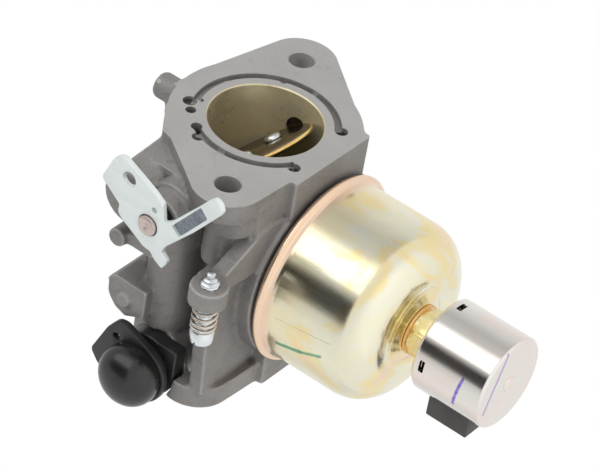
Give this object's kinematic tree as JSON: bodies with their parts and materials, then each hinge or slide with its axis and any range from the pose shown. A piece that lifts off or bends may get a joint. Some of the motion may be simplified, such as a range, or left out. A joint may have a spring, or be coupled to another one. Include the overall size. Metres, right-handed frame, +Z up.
{
  "type": "carburetor",
  "caption": "Side-draught float carburetor with throttle and choke butterflies, a float bowl, an idle-speed screw and a fuel shut-off solenoid below the bowl.",
  "frame": {"origin": "centre of the throttle bore on the engine flange face", "axes": "+Z up as installed with the bowl hanging towards -Z, +Y out of the engine flange along the bore, +X the side of the levers"},
  "size_m": [0.0959, 0.0787, 0.1159],
  "materials": {
    "casting": "as cast, machined faces",
    "bowl_zinc": "yellow chromated zinc",
    "can_steel": "iridescent zinc",
    "fitting_zinc": "yellow chromated zinc",
    "lever_zinc": "bright zinc",
    "steel": "turned",
    "brass": "turned",
    "copper": "copper",
    "rubber": "matt",
    "dark_plastic": "moulded",
    "cap_plastic": "glossy",
    "float_plastic": "moulded"
  },
  "bodies": {
    "carburetor_body": {"body_casting": "casting", "bowl_gasket": "rubber", "float_bowl": "bowl_zinc", "bowl_washer": "copper", "solenoid_fitting": "fitting_zinc", "solenoid_can": "can_steel", "solenoid_cap": "can_steel", "solenoid_core": "steel", "solenoid_bobbin": "dark_plastic", "solenoid_coil": "copper", "solenoid_connector": "dark_plastic", "connector_terminals": "brass", "main_jet": "brass", "emulsion_tube": "brass", "idle_jet": "brass", "fuel_inlet": "brass", "inlet_seat": "brass", "float_pin": "steel", "throttle_seal": "rubber", "choke_collar": "dark_plastic", "welch_plug": "steel", "transfer_plug": "brass"},
    "throttle": {"throttle_shaft": "steel", "throttle_plate": "brass", "throttle_plate_screws": "steel", "throttle_lever": "lever_zinc"},
    "choke": {"choke_shaft": "steel", "choke_plate": "brass", "choke_plate_screws": "steel", "choke_lever": "dark_plastic", "choke_cap": "cap_plastic"},
    "idle_spring_seat": {"idle_speed_spring": "steel"},
    "idle_screw": {"idle_speed_screw": "lever_zinc"},
    "mixture_seat": {"mixture_ring": "rubber"},
    "mixture_needle": {"mixture_screw": "brass"},
    "float": {"main_float": "float_plastic"},
    "needle": {"inlet_needle": "rubber"},
    "plunger": {"solenoid_plunger": "steel", "plunger_spring": "steel"}
  },
  "joints": [
    {"name": "throttle_turn", "type": "hinge", "parent": "carburetor_body", "child": "throttle", "pos_m": [0, -0.0103, 0], "axis": [1, 0, 0], "range_deg": [-40.5, 46]},
    {"name": "choke_turn", "type": "hinge", "parent": "carburetor_body", "child": "choke", "pos_m": [0, -0.0605, 0], "axis": [1, 0, 0], "range_deg": [0, 75]},
    {"name": "idle_screw_travel", "type": "slide", "parent": "carburetor_body", "child": "idle_spring_seat", "axis": [0, 1, 0], "range_m": [-0.0008, 0.0004], "deforming": ["idle_speed_spring"]},
    {"name": "idle_screw_turn", "type": "hinge", "parent": "idle_spring_seat", "child": "idle_screw", "pos_m": [0.043, -0.03, -0.02], "axis": [0, 1, 0], "range_deg": [-361, 181]},
    {"name": "mixture_travel", "type": "slide", "parent": "carburetor_body", "child": "mixture_seat", "axis": [0, 0, 1], "range_m": [-0.00017, 0.00105]},
    {"name": "mixture_turn", "type": "hinge", "parent": "mixture_seat", "child": "mixture_needle", "pos_m": [0.0046, -0.0037, 0.022], "axis": [0, 0, 1], "range_deg": [-91, 541]},
    {"name": "float_swing", "type": "hinge", "parent": "carburetor_body", "child": "float", "pos_m": [-0.02, -0.0338, -0.0285], "axis": [0, 1, 0], "range_deg": [0, 6]},
    {"name": "needle_drop", "type": "slide", "parent": "carburetor_body", "child": "needle", "axis": [0, 0, 1], "range_m": [-0.0006, 0]},
    {"name": "plunger_stroke", "type": "slide", "parent": "carburetor_body", "child": "plunger", "axis": [0, 0, 1], "range_m": [-0.0023, 0], "stiffness_N_per_m": 300, "springref_m": 0.002, "deforming": ["plunger_spring"]}
  ],
  "couplings": [
    {"joint": "idle_screw_turn", "follows": "idle_screw_travel", "rad_per_m": 7854},
    {"joint": "mixture_turn", "follows": "mixture_travel", "rad_per_m": 8976},
    {"joint": "needle_drop", "follows": "float_swing", "m_per_rad": -0.0045}
  ]
}
